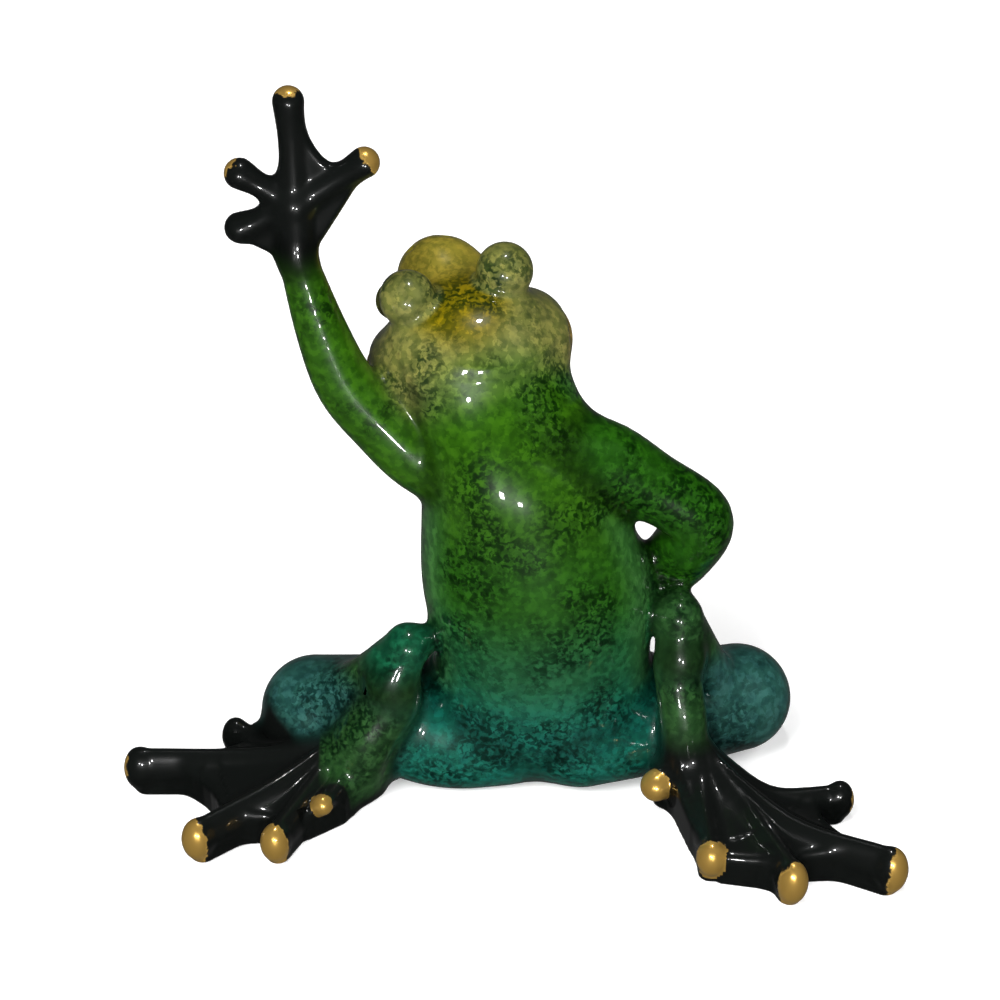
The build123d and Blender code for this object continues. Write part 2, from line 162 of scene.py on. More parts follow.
LEFT_HAND_WEBS = [
    [(-2, 0, -9.6), (-4.8, 0, -8.4), (-8.6, 0, -6.2)],
    [(-6.4, 0, -2.9), (-4.9, 0, 0.6), (-5.8, 0, 3.8)],
    [(-5.8, 0, 3.8), (-3.2, 0, 3), (-0.1, 0.6, 10.8)],
    [(1.5, 1, 16.5), (4.2, 0.5, 5), (9.8, 0.2, 7.2)],
    [(11.2, 0.2, 5), (6.5, 0, -3), (3.2, 0, -8)],
]
RIGHT_HAND_WEBS = [
    [(-6.6, 1.4, 1.4), (-5, 1, -0.4), (-7, 1.4, -2.8)],
    [(-7, 1.4, -2.8), (-4.6, 1, -3.6), (-3.8, 1, -6)],
    [(-3.8, 1, -6), (-1.4, 0.6, -4.6), (0.6, 0.8, -4.8)],
]
HAND_WEB_HALF_THICKNESS, HAND_WEB_EDGE = 1.2, 1.2
HAND_WEB_BLEND, FINGER_BLEND = 1.0, 1.2

# Legs: the knee and the heel, the limbs' radii, and two soft forms on the left leg
left_hip, right_hip = middle("left_hip_pin"), middle("right_hip_pin")
LEFT_KNEE = left_hip + np.array([-22.4, 1.8, 0])
LEFT_HEEL = left_hip + np.array([-4.8, -6.5, 21.2])
RIGHT_KNEE = right_hip + np.array([17.2, 4.6, 0.4])
RIGHT_HEEL = right_hip + np.array([5.2, -3.5, 25.4])
HIP_DEPTH = 12.0
THIGH_RADII = [11.0, 11.0, 9.9]
SHANK_RADII = [7.9, 5.3, 3.9]
LEFT_SHANK_SAG, RIGHT_SHANK_SAG = 2.2, 4.4
KNEE_BLEND, STUB_BLEND = 2.0, 1.0
LEFT_HAUNCH = left_hip + np.array([4, -4.6, -2.6])
LEFT_HAUNCH_HALF_SIZES = (15, 8, 8.5)
LEFT_FOLD = (LEFT_KNEE + LEFT_HEEL) / 2 - np.array([0, 0, 3])
LEFT_FOLD_RADIUS = 3.4
HAUNCH_BLEND, FOLD_BLEND = 4.0, 2.0

# Feet: points as steps from the heel, inner toe first; the strip runs from the heel down to the ground
left_heel_joint, right_heel_joint = middle("left_heel_pin"), middle("right_heel_pin")
LEFT_INSTEP = LEFT_HEEL + np.array([-8.7, -4.5, -19.8])
LEFT_FAN = LEFT_HEEL + np.array([-14.1, -3.6, -19.8])
LEFT_STRIP = steps_from(LEFT_HEEL, [(-3, -2, -10.8), (-8.6, -4.7, -19.8), (-9.4, -1.5, -30.8)])
LEFT_STRIP_RADII = [3.9, 4.6, 5.3, 5.0]
LEFT_WALL = steps_from(
    LEFT_HEEL[:2], [(-18.2, -17.6), (-11.4, -12.8), (-6, -4.4), (-9.4, -1.5), (-14.1, -3.6)]
)
LEFT_KNUCKLES = steps_from(
    LEFT_HEEL[:2], [(-11.6, -8.3), (-16, -8), (-24.2, -11.5), (-29.2, -3), (-22.2, 2.5)]
)
LEFT_TOES = steps_from(
    LEFT_HEEL[:2], [(-15.1, -15.2), (-23.2, -22), (-36.8, -21.5), (-49, -3), (-32.4, 6.5)]
)
LEFT_SAGS = [0.3, 1.7, 4.0, 3.5]
RIGHT_INSTEP = RIGHT_HEEL + np.array([1.2, -8, -19.8])
RIGHT_FAN = RIGHT_HEEL + np.array([3.7, -8, -22.4])
RIGHT_STRIP = steps_from(RIGHT_HEEL, [(0, -4, -10.8), (1.2, -8, -19.8), (1.2, -8, -35)])
RIGHT_STRIP_RADII = [3.8, 4.2, 4.2, 4.2]
RIGHT_WALL = steps_from(
    RIGHT_HEEL[:2],
    [(18, -34.2), (13, -32.4), (6.4, -31.2), (3.4, -27)]
    + [(1.7, -23.1), (-0.6, -14.8), (-2.8, -8), (1.2, -8)],
)
RIGHT_KNUCKLES = steps_from(
    RIGHT_HEEL[:2], [(-1.4, -9.4), (4.3, -17), (11.2, -18.5), (18.8, -23.5), (15.8, -14.5)]
)
RIGHT_TOES = steps_from(
    RIGHT_HEEL[:2], [(-3.8, -12.1), (5, -29.6), (18.6, -35.3), (35.9, -32.6), (29, -14)]
)
RIGHT_SAGS = [1.2, -0.5, 0.8, 3.5]
LEFT_TOE_HALF_WIDTHS = np.array([1.8, 2.6, 2.8, 2.9, 2.6])
LEFT_TOE_HALF_HEIGHTS = np.array([2.0, 3.8, 4.2, 4.5, 4.0])
LEFT_TOE_MIDDLES = LEFT_TOE_HALF_HEIGHTS + np.array([5.0, 0.4, 0.4, 0.4, 0.4])
RIGHT_TOE_HALF_WIDTHS = np.array([2.8, 2.6, 2.7, 2.9, 2.6])
RIGHT_TOE_HALF_HEIGHTS = np.array([2.9, 3.5, 4.4, 4.7, 4.0])
RIGHT_TOE_MIDDLES = RIGHT_TOE_HALF_HEIGHTS + np.array([3.2, 1.4, 0.2, 0.2, 0.4])
TOE_ROOT_HALF_WIDTH, TOE_NECK_HALF_WIDTH = 2.6, 2.1
TOE_TOP_SHARES = np.array([0.0, 1.0, 1.0, 1.0, 0.8])
TOE_WALL_SHARES = [0.3, 1.0, 1.0, 1.0, 1.0]
KNUCKLE_TOPS = [8.4, 9.4, 9.4, 9.4, 8.0]
INSTEP_RISE = 1.0
FOOT_WEB_SHARE = 0.97
RIDGE_RISE, RIDGE_HALF_WIDTH, RIDGE_SOFTNESS = 1.5, 1.7, 0.3
FOOT_WEB_BLEND, FOOT_EDGE_BLEND, STRIP_BLEND = 0.8, 1.8, 3.0
TOE_BLEND, TOE_ROD_SHARE = 0.8, 0.8


class Field:
    """Distances to a form, on the lattice points of a box."""

    def __init__(self, low, high):
        self.first = np.floor(np.maximum(low, BODY_LOW) / CELL).astype(int)
        self.count = np.ceil(np.minimum(high, BODY_HIGH) / CELL).astype(int) - self.first + 1
        self.values = np.full(self.count, FAR, np.float32)

    def window(self, low, high):
        """The slices of the lattice points in a box, and their coordinates."""
        start = np.clip(np.floor(np.array(low) / CELL).astype(int) - self.first, 0, self.count)
        stop = np.clip(np.ceil(np.array(high) / CELL).astype(int) + 1 - self.first, 0, self.count)
        slices = tuple(slice(a, b) for a, b in zip(start, stop))
        lines = [(np.arange(a, b) + f) * np.float32(CELL) for a, b, f in zip(start, stop, self.first)]
        lines = [line.astype(np.float32) for line in lines]
        return slices, np.meshgrid(*lines, indexing="ij", sparse=True)

    def everywhere(self):
        """The coordinates of all the lattice points."""
        return self.window(self.first * CELL, (self.first + self.count - 1) * CELL)[1]

    def add(self, form, blend=0.0):
        """Joins a form on, with a soft crease."""
        low, high, distance = form
        slices, place = self.window(low - blend - MARGIN, high + blend + MARGIN)
        self.values[slices] = soft_min(self.values[slices], distance(*place), blend)

    def carve(self, form, blend=0.0):
        """Takes a form away, with a soft edge."""
        low, high, distance = form
        slices, place = self.window(low - blend - MARGIN, high + blend + MARGIN)
        self.values[slices] = -soft_min(-self.values[slices], distance(*place), blend)

    def join(self, other, blend=0.0):
        """Joins another field on, with a soft crease."""
        start = np.maximum(self.first, other.first)
        stop = np.minimum(self.first + self.count, other.first + other.count)
        mine = tuple(slice(a, b) for a, b in zip(start - self.first, stop - self.first))
        theirs = tuple(slice(a, b) for a, b in zip(start - other.first, stop - other.first))
        self.values[mine] = soft_min(self.values[mine], other.values[theirs], blend)

    def at(self, points):
        """The distances at points."""
        place = points / CELL - self.first
        base = np.clip(np.floor(place).astype(int), 0, self.count - 2)
        share = np.clip(place - base, 0, 1)
        found = np.zeros(len(points))
        for corner in np.ndindex(2, 2, 2):
            weight = np.prod(np.where(corner, share, 1 - share), axis=1)
            found += weight * self.values[tuple((base + corner).T)]
        outside = np.any((place < 0) | (place > self.count - 1), axis=1)
        return np.where(outside, FAR, found)

    def slope(self, points):
        """The way the distance grows at points."""
        changes = [self.at(points + way) - self.at(points - way) for way in np.eye(3) * SLOPE_REACH]
        return np.stack(changes, axis=1) / (2 * SLOPE_REACH)


def soft_min(a, b, blend):
    """The lower of two distances, rounded where they are close."""
    if blend == 0:
        return np.minimum(a, b)
    near = np.maximum(blend - np.abs(a - b), 0) / blend
    return np.minimum(a, b) - near * near * (blend / 4)


def rod(start, end, start_radius, end_radius):
    """A round rod whose radius changes evenly along it."""
    start, along = np.float32(start), np.float32(end) - np.float32(start)
    length = float(along @ along)

    def distance(x, y, z):
        dx, dy, dz = x - start[0], y - start[1], z - start[2]
        share = np.clip((dx * along[0] + dy * along[1] + dz * along[2]) / length, 0, 1)
        off = (dx - share * along[0]) ** 2 + (dy - share * along[1]) ** 2 + (dz - share * along[2]) ** 2
        return np.sqrt(off) - (start_radius + share * (end_radius - start_radius))

    reach = max(start_radius, end_radius)
    return np.minimum(start, end) - reach, np.maximum(start, end) + reach, distance


def oval(across, depth, half_width, half_depth):
    """About how far a point of a plane lies outside an oval."""
    ring = np.sqrt((across / half_width) ** 2 + (depth / half_depth) ** 2)
    steep = np.sqrt((across / half_width**2) ** 2 + (depth / half_depth**2) ** 2)
    return ring * (ring - 1) / np.maximum(steep, TINY)


def lump(at, ways, half_sizes):
    """An ellipsoid along three directions."""

    def distance(x, y, z):
        ring, steep = 0, 0
        for way, size in zip(np.float32(ways), half_sizes):
            local = (x - at[0]) * way[0] + (y - at[1]) * way[1] + (z - at[2]) * way[2]
            ring = ring + (local / size) ** 2
            steep = steep + (local / size**2) ** 2
        ring = np.sqrt(ring)
        return ring * (ring - 1) / np.maximum(np.sqrt(steep), TINY)

    reach = max(half_sizes)
    return np.array(at) - reach, np.array(at) + reach, distance


def ball(at, radius):
    """A ball, as a rod with almost no length."""
    return rod(at, np.array(at) + np.array([0, 0, SHORTEST_ROD]), radius, radius)


def eased(share, start, start_slope, end, end_slope):
    """A smooth curve from start to end with a slope at each, read at a share of the way."""
    return (
        (2 * share**3 - 3 * share**2 + 1) * start
        + (share**3 - 2 * share**2 + share) * start_slope
        + (3 * share**2 - 2 * share**3) * end
        + (share**3 - share**2) * end_slope
    )


def curve(points):
    """A smooth line through points, with points added in each span."""
    points = np.array(points, float)
    slopes = np.gradient(points, axis=0)
    share = np.linspace(0, 1, CURVE_STEPS, endpoint=False)[:, None]
    spans = [eased(share, *ends) for ends in zip(points, slopes, points[1:], slopes[1:])]
    return np.vstack([*spans, points[-1:]])


def through(stations, values, at):
    """A smooth curve through values at stations, read at other places."""
    slopes = np.gradient(values, stations)
    i = np.clip(np.searchsorted(stations, at) - 1, 0, len(stations) - 2)
    width = np.diff(stations)[i]
    share = np.clip((at - stations[i]) / width, 0, 1)
    return eased(share, values[i], slopes[i] * width, values[i + 1], slopes[i + 1] * width)


def limb_field(points, radii):
    """A smooth limb through points, with a radius at each."""
    line = curve(np.column_stack([points, radii]))
    made = Field(line[:, :3].min(0) - 2 * REACH, line[:, :3].max(0) + 2 * REACH)
    for start, end in zip(line, line[1:]):
        made.add(rod(start[:3], end[:3], start[3], end[3]))
    return made


# Torso
TORSO_BOX = np.array([(-45, -30, -10), (45, 60, 110)])


def torso_distance(x, y, z):
    """How far a point lies outside the torso."""
    height = z.ravel()
    half_width, half_depth, middle_x, middle_y = [
        through(TORSO_HEIGHTS, values, height).astype(np.float32)
        for values in (TORSO_HALF_WIDTHS, TORSO_HALF_DEPTHS, TORSO_MIDDLES_X, TORSO_MIDDLES_Y)
    ]
    return np.maximum(oval(x - middle_x, y - middle_y, half_width, half_depth), z - TORSO_HEIGHTS[-1])


torso_field = Field(*TORSO_BOX)
torso_field.add((*TORSO_BOX, torso_distance))


# Head
def head_place(local):
    """A point of the head, given along its own directions."""
    return HEAD_MIDDLE + np.array(local, float) @ HEAD_WAYS


def head_local(x, y, z):
    """Points along the head's own directions: to its right, up and forward."""
    return seen_along(HEAD_WAYS, HEAD_MIDDLE, x, y, z)


eye_beads = [middle("left_eye"), middle("right_eye")]
head_field = Field(HEAD_MIDDLE - HEAD_REACH, HEAD_MIDDLE + HEAD_REACH)
for at, half_sizes in (SKULL, LIPS, *JOWLS, SNOUT, NOSE, THROAT):
    head_field.add(lump(head_place(at), HEAD_WAYS, half_sizes), HEAD_BLEND)
side, up, forward = head_local(*head_field.everywhere())
mouth_line = np.exp(-(((up + MOUTH_DROP - MOUTH_BOW * side**2) / MOUTH_HALF_HEIGHT) ** 2))
mouth = mouth_line * np.clip((forward + MOUTH_BACK) / MOUTH_FADE, 0, 1)
head_field.values += MOUTH_DEPTH * mouth
for at in NOSTRILS:
    away = (side - at[0]) ** 2 + (up - at[1]) ** 2 + (forward - at[2]) ** 2
    head_field.values += NOSTRIL_DEPTH * np.exp(-away / NOSTRIL_RADIUS**2)
for mound, bead in zip(EYE_MOUNDS, eye_beads):
    head_field.add(ball(head_place(mound), EYE_MOUND_RADIUS), EYE_MOUND_BLEND)
    head_field.carve(ball(bead, BEAD_RADIUS), EYE_SOCKET_BLEND)


# Webs, arms and hands
def flat_outline(points, x, y):
    """How far a point of a plane lies outside a closed outline."""
    nearest = np.full(np.broadcast(x, y).shape, FAR * FAR, np.float32)
    turns = np.zeros(nearest.shape, bool)
    for (ax, ay), (bx, by) in zip(points, np.roll(points, -1, axis=0)):
        ex, ey = bx - ax, by - ay
        share = np.clip(((x - ax) * ex + (y - ay) * ey) / (ex * ex + ey * ey), 0, 1)
        nearest = np.minimum(nearest, (x - ax - share * ex) ** 2 + (y - ay - share * ey) ** 2)
        turns ^= ((ay > y) != (by > y)) & (x < (y - ay) * ex / (ey if ey else TINY) + ax)
    return np.where(turns, -1, 1) * np.sqrt(nearest)


def hollow_rim(first, pull, second):
    """A curve from one point to another, drawn towards a third."""
    share = np.linspace(0, 1, RIM_STEPS)[:, None]
    return (1 - share) ** 2 * first + 2 * share * (1 - share) * pull + share**2 * second


def web_outline(first, second, root, sag):
    """The outline of a web between two digits, with a hollow rim."""
    rim_middle = (first[-1] + second[-1]) / 2
    pull = rim_middle + unit(root - rim_middle) * 2 * sag
    rim = hollow_rim(first[-1], pull, second[-1])
    return np.vstack([root[None], first[:-1], rim, second[:-1][::-1]])


def hand_field(wrist, palm, ends, webs, back):
    """A flat webbed hand with four fingers."""
    corners = np.vstack([wrist[None], palm[None], ends])
    made = Field(corners.min(0) - REACH, corners.max(0) + REACH)
    made.join(limb_field(np.array([wrist, palm]), [WRIST_RADIUS, PALM_RADIUS]))
    across = unit(np.cross(back, ends[LONG_FINGER] - palm))
    upward = np.cross(across, back)
    flat_x, flat_y, depth = seen_along((across, upward, back), palm, *made.everywhere())
    for web in webs:
        rim = hollow_rim(*(np.array(web, float) @ np.column_stack([across, upward])))
        outline = flat_outline(np.vstack([np.zeros(2), rim]), flat_x, flat_y)
        plate = -soft_min(-outline, HAND_WEB_HALF_THICKNESS - np.abs(depth), HAND_WEB_EDGE)
        made.values = soft_min(made.values, plate, HAND_WEB_BLEND)
    for end in ends:
        points = np.array([palm + (end - palm) * station for station in FINGER_STATIONS])
        made.join(limb_field(points, FINGER_RADII), FINGER_BLEND)
    return made


left_arm_field = limb_field(LEFT_ARM, LEFT_ARM_RADII)
right_arm_field = limb_field(RIGHT_ARM, RIGHT_ARM_RADII)
left_hand_field = hand_field(left_wrist, LEFT_PALM, LEFT_FINGERS, LEFT_HAND_WEBS, LEFT_HAND_BACK)
right_hand_field = hand_field(right_wrist, RIGHT_PALM, RIGHT_FINGERS, RIGHT_HAND_WEBS, RIGHT_HAND_BACK)


# Legs and feet
def leg_field(hip, knee, heel, heel_joint, sag, stub_radius):
    """A thigh, the shank folded back along it, and the stub that carries the foot."""
    inner = hip + unit(hip - knee) * HIP_DEPTH
    corners = np.array([inner, hip, knee, heel])
    made = Field(corners.min(0) - 2 * REACH, corners.max(0) + 2 * REACH)
    made.join(limb_field(np.array([inner, hip, knee]), THIGH_RADII))
    calf = (knee + heel) / 2 - np.array([0, 0, sag])
    made.join(limb_field(np.array([knee, calf, heel]), SHANK_RADII), KNEE_BLEND)
    made.join(limb_field(np.array([heel, heel_joint]), [SHANK_RADII[-1], stub_radius]), STUB_BLEND)
    return made


def foot_field(heel_joint, instep, fan, strip, wall, knuckles, ends, sags, bulbs):
    """A thick webbed foot: steep sides all round, and ridges from the instep to the toes."""
    corners = np.vstack([heel_joint[None, :2], instep[None, :2], ends])
    low = np.append(corners.min(0) - REACH, -REACH)
    high = np.append(corners.max(0) + REACH, heel_joint[2] + REACH)
    made = Field(low, high)
    x, y, z = made.everywhere()
    plan_x, plan_y = x[:, :, 0], y[:, :, 0]
    footprint = np.full(np.broadcast(plan_x, plan_y).shape, FAR, np.float32)
    ridge_top, ridge_weight, ridge_near = 0.0, 0.0, FAR
    _, half_heights, middles = bulbs
    tops = middles + TOE_TOP_SHARES * half_heights
    toes = []
    for knuckle, end, wall_share, rise, top in zip(knuckles, ends, TOE_WALL_SHARES, KNUCKLE_TOPS, tops):
        stop = knuckle + (end - knuckle) * wall_share - unit(end - knuckle)
        line = curve([
            [*fan[:2], fan[2] + INSTEP_RISE, TOE_ROOT_HALF_WIDTH],
            [*knuckle, rise, TOE_NECK_HALF_WIDTH],
            [*stop, top, TOE_NECK_HALF_WIDTH],
        ])
        toes.append(line)
        toe_near, toe_top = FAR, 0.0
        for start, step in zip(line, np.diff(line, axis=0)):
            from_x, from_y = plan_x - start[0], plan_y - start[1]
            share = np.clip((from_x * step[0] + from_y * step[1]) / (step[0] ** 2 + step[1] ** 2), 0, 1)
            off = np.hypot(from_x - share * step[0], from_y - share * step[1])
            toe_top = np.where(off < toe_near, start[2] + share * step[2], toe_top)
            toe_near = np.minimum(off, toe_near)
            footprint = np.minimum(footprint, off - (start[3] + share * step[3]))
        weight = 1 / (toe_near**2 + RIDGE_SOFTNESS)
        ridge_top = ridge_top + weight * toe_top
        ridge_weight = ridge_weight + weight
        ridge_near = np.minimum(ridge_near, toe_near)
    for first, second, sag in zip(toes, toes[1:], sags):
        rims = [line[1 : int(FOOT_WEB_SHARE * len(line)), :2] for line in (first, second)]
        outline = web_outline(*rims, instep[:2], sag)
        footprint = soft_min(footprint, flat_outline(outline, plan_x, plan_y), FOOT_WEB_BLEND)
    footprint = soft_min(footprint, flat_outline(wall, plan_x, plan_y), FOOT_WEB_BLEND).astype(np.float32)
    hollow = RIDGE_RISE * (1 - np.exp(-((ridge_near / RIDGE_HALF_WIDTH) ** 2)))
    surface = ridge_top / ridge_weight - hollow
    steep = np.hypot(*np.gradient(surface, CELL))
    above = (z - surface[:, :, None]) / np.sqrt(1 + steep**2)[:, :, None]
    made.values = -soft_min(-footprint[:, :, None], -above, FOOT_EDGE_BLEND).astype(np.float32)
    for knuckle, end, half_width, half_height, height in zip(knuckles, ends, *bulbs):
        way = np.append(unit(end - knuckle), 0)
        ways = np.array([way, np.cross((0, 0, 1), way), (0, 0, 1)])
        neck = rod((*knuckle, height), (*end, height), TOE_NECK_HALF_WIDTH, TOE_ROD_SHARE * half_width)
        made.add(neck, TOE_BLEND)
        made.add(lump((*end, height), ways, (half_width, half_width, half_height)), TOE_BLEND)
    made.join(strip, STRIP_BLEND)
    return made


left_leg_field = leg_field(
    left_hip, LEFT_KNEE, LEFT_HEEL, left_heel_joint, LEFT_SHANK_SAG, LEFT_STRIP_RADII[0]
)
right_leg_field = leg_field(
    right_hip, RIGHT_KNEE, RIGHT_HEEL, right_heel_joint, RIGHT_SHANK_SAG, RIGHT_STRIP_RADII[0]
)
left_leg_field.add(lump(LEFT_HAUNCH, np.eye(3), LEFT_HAUNCH_HALF_SIZES), HAUNCH_BLEND)
left_leg_field.add(rod(LEFT_FOLD, LEFT_STRIP[0], LEFT_FOLD_RADIUS, LEFT_FOLD_RADIUS), FOLD_BLEND)
left_strip_field = limb_field(np.vstack([left_heel_joint[None], LEFT_STRIP]), LEFT_STRIP_RADII)
right_strip_field = limb_field(np.vstack([right_heel_joint[None], RIGHT_STRIP]), RIGHT_STRIP_RADII)
left_foot_field = foot_field(
    left_heel_joint,
    LEFT_INSTEP,
    LEFT_FAN,
    left_strip_field,
    LEFT_WALL,
    LEFT_KNUCKLES,
    LEFT_TOES,
    LEFT_SAGS,
    (LEFT_TOE_HALF_WIDTHS, LEFT_TOE_HALF_HEIGHTS, LEFT_TOE_MIDDLES),
)
right_foot_field = foot_field(
    right_heel_joint,
    RIGHT_INSTEP,
    RIGHT_FAN,
    right_strip_field,
    RIGHT_WALL,
    RIGHT_KNUCKLES,
    RIGHT_TOES,
    RIGHT_SAGS,
    (RIGHT_TOE_HALF_WIDTHS, RIGHT_TOE_HALF_HEIGHTS, RIGHT_TOE_MIDDLES),
)

# Castings: the form of each, and how softly it joins those before it
fields = {
    "torso": torso_field,
    "head": head_field,
    "left_arm": left_arm_field,
    "right_arm": right_arm_field,
    "left_hand": left_hand_field,
    "right_hand": right_hand_field,
    "left_leg": left_leg_field,
    "right_leg": right_leg_field,
    "left_foot": left_foot_field,
    "right_foot": right_foot_field,
}
names = list(fields)
BLENDS = {
    "torso": 0.0,
    "head": 5.0,
    "left_leg": 4.0,
    "right_leg": 4.0,
    "left_foot": 4.0,
    "right_foot": 2.5,
    "left_arm": 2.0,
    "right_arm": 4.5,
    "left_hand": 2.0,
    "right_hand": 1.0,
}

# The whole skin: all the castings joined, and cut off flat at the seat
SEAT_EDGE_BLEND = 0.6
SETTLING_ROUNDS = 2
LEAST_STEEPNESS = 0.1
LEAST_SIDE = 1e-4
body = Field(BODY_LOW, BODY_HIGH)
for name, blend in BLENDS.items():
    body.join(fields[name], blend)
body.values = -soft_min(-body.values, body.everywhere()[2], SEAT_EDGE_BLEND)


def skin_of(field):
    """Points and triangles on the zero level of a field."""
    inside = field.values < 0
    corners = list(np.ndindex(2, 2, 2))
    spans = [slice(None, -1), slice(1, None)]
    filled = sum(inside[tuple(spans[c] for c in corner)].astype(np.uint8) for corner in corners)
    partly = (filled > 0) & (filled < len(corners))
    cells = np.argwhere(partly)
    number = np.full(partly.shape, -1, np.int32)
    number[partly] = np.arange(len(cells))
    at_corner = {corner: field.values[tuple((cells + corner).T)] for corner in corners}
    total, hits = np.zeros((len(cells), 3)), np.zeros(len(cells))
    for start in corners:
        for axis in range(3):
            if start[axis]:
                continue
            end = tuple(1 if i == axis else c for i, c in enumerate(start))
            a, b = at_corner[start], at_corner[end]
            crossed = (a < 0) != (b < 0)
            share = np.where(crossed, a / np.where(crossed, a - b, 1), 0)
            place = np.array(start) + share[:, None] * np.eye(3)[axis]
            total += place * crossed[:, None]
            hits += crossed
    points = (cells + field.first + total / hits[:, None]) * CELL
    quads = []
    for axis in range(3):
        before = tuple(slice(None, -1) if i == axis else slice(None) for i in range(3))
        after = tuple(slice(1, None) if i == axis else slice(None) for i in range(3))
        edges = np.argwhere(inside[before] != inside[after])
        one, two = [np.eye(3, dtype=int)[(axis + i) % 3] for i in (1, 2)]
        around = (0 * one, one, one + two, two)
        ring = np.stack([number[tuple((edges - step).T)] for step in around], axis=1)
        turned = inside[tuple(edges.T)]
        quads.append(np.where(turned[:, None], ring, ring[:, ::-1]))
    quads = np.vstack(quads)
    for _ in range(SETTLING_ROUNDS):
        slope = field.slope(points)
        steepness = np.maximum((slope**2).sum(1), LEAST_STEEPNESS)
        points = points - slope * (field.at(points) / steepness)[:, None]
    points[:, 2] = np.maximum(points[:, 2], 0)
    return points, np.vstack([quads[:, [0, 1, 2]], quads[:, [0, 2, 3]]])


def parted(points, triangles, side):
    """The points, and the triangles with side below zero and above it, cut along the line between."""
    side = np.where(np.abs(side) < LEAST_SIDE, LEAST_SIDE, side)
    above = (side > 0)[triangles]
    count = above.sum(1)
    crossed = (count == 1) | (count == 2)
    cut, above_alone = triangles[crossed], count[crossed] == 1
    start = (above[crossed] == above_alone[:, None]).argmax(1)
    a, b, c = [np.take_along_axis(cut, ((start + i) % 3)[:, None], 1)[:, 0] for i in range(3)]
    edges = np.sort(np.vstack([np.column_stack([a, b]), np.column_stack([a, c])]), axis=1)
    ends, place = np.unique(edges, axis=0, return_inverse=True)
    share = side[ends[:, 0]] / (side[ends[:, 0]] - side[ends[:, 1]])
    added = points[ends[:, 0]] + share[:, None] * (points[ends[:, 1]] - points[ends[:, 0]])
    p, q = place.reshape(2, -1) + len(points)
    corner, rest = np.column_stack([a, p, q]), np.column_stack([p, b, c, p, c, q])
    low = [triangles[count == 0], corner[~above_alone], rest[above_alone].reshape(-1, 3)]
    high = [triangles[count == 3], corner[above_alone], rest[~above_alone].reshape(-1, 3)]
    return np.vstack([points, added]), np.vstack(low), np.vstack(high)


# Pieces: the skin cut where one casting meets the next
def distances_to(points):
    """The distance from each point to each casting."""
    return np.column_stack([field.at(points) for field in fields.values()])


points, rest = skin_of(body)
distances = distances_to(points)
pieces = {}
for i, name in enumerate(names[1:], 1):
    others = np.delete(distances, i, axis=1).min(1)
    points, pieces[name], rest = parted(points, rest, distances[:, i] - others)
    distances = np.vstack([distances, distances_to(points[len(distances) :])])
pieces["torso"] = rest

# Digits: ends, where each starts, half widths and heights, and how far past its end's middle gold starts
TIP_REACH = 5.0
TIP_SETBACK = 0.8
GOLD_MARGIN = 0.6
NO_GOLD = 9.0
FINGER_COUNT = 4
FINGER_SIZES = [(2.8, 2.8)] * FINGER_COUNT
digits = {
    "left_hand": (LEFT_FINGERS, [LEFT_PALM] * FINGER_COUNT, FINGER_SIZES, [NO_GOLD, 1.9, 1.9, 0.9]),
    "right_hand": (RIGHT_FINGERS, [RIGHT_PALM] * FINGER_COUNT, FINGER_SIZES, [0.6, 0.6, 0.6, 0.6]),
    "left_foot": (
        np.column_stack([LEFT_TOES, LEFT_TOE_MIDDLES]),
        np.column_stack([LEFT_KNUCKLES, LEFT_TOE_MIDDLES]),
        np.column_stack([LEFT_TOE_HALF_WIDTHS, LEFT_TOE_HALF_HEIGHTS]),
        [-0.6, -0.4, -0.2, 2.2, NO_GOLD],
    ),
    "right_foot": (
        np.column_stack([RIGHT_TOES, RIGHT_TOE_MIDDLES]),
        np.column_stack([RIGHT_KNUCKLES, RIGHT_TOE_MIDDLES]),
        np.column_stack([RIGHT_TOE_HALF_WIDTHS, RIGHT_TOE_HALF_HEIGHTS]),
        [-0.8, -0.4, -0.2, 0.4, 2.0],
    ),
}
TIPS = {
    "left_hand": "left_finger_tips",
    "right_hand": "right_finger_tips",
    "left_foot": "left_toe_tips",
    "right_foot": "right_toe_tips",
}
for name, (ends, knuckles, *_) in digits.items():
    tips = []
    for end, knuckle in zip(ends, knuckles):
        past = (points - end) @ unit(end - knuckle) + TIP_SETBACK
        away = np.linalg.norm(points - end, axis=1) - TIP_REACH
        points, tip, pieces[name] = parted(points, pieces[name], np.maximum(-past, away))
        tips.append(tip)
    pieces[TIPS[name]] = np.vstack(tips)
gold_depth = np.full(len(points), -FAR)
for ends, knuckles, sizes, starts in digits.values():
    for end, knuckle, (half_width, half_height), start in zip(ends, knuckles, sizes, starts):
        squeeze = np.array([1, 1, half_width / half_height])
        near = np.linalg.norm((points - end) * squeeze, axis=1) < half_width + GOLD_MARGIN
        depth = (points[near] - end) @ unit(end - knuckle) - start
        gold_depth[near] = np.maximum(gold_depth[near], depth)
distances = np.vstack([distances, distances_to(points[len(distances) :])])
normals = body.slope(points)
normals /= np.maximum(np.linalg.norm(normals, axis=1), TINY)[:, None]


# Paint: a colour and a strength of flecks for each point of the skin
def colour(text):
    """A colour in linear light, from six hexadecimal digits."""
    shade = np.array([int(text[i : i + 2], 16) for i in (0, 2, 4)]) / 255
    return np.where(shade <= 0.04045, shade / 12.92, ((shade + 0.055) / 1.055) ** 2.4)


def fade(value, start, end):
    """A smooth step from 0 at start to 1 at end, as a column."""
    share = np.clip((value - start) / (end - start), 0, 1)
    return (share * share * (3 - 2 * share))[:, None]


def over(under, paint, amount):
    """One colour laid over another."""
    return under + (paint - under) * amount


def layered(under, layers):
    """A colour with others laid over it in turn, each with its own amount."""
    for paint, amount in layers:
        under = over(under, paint, amount)
    return under


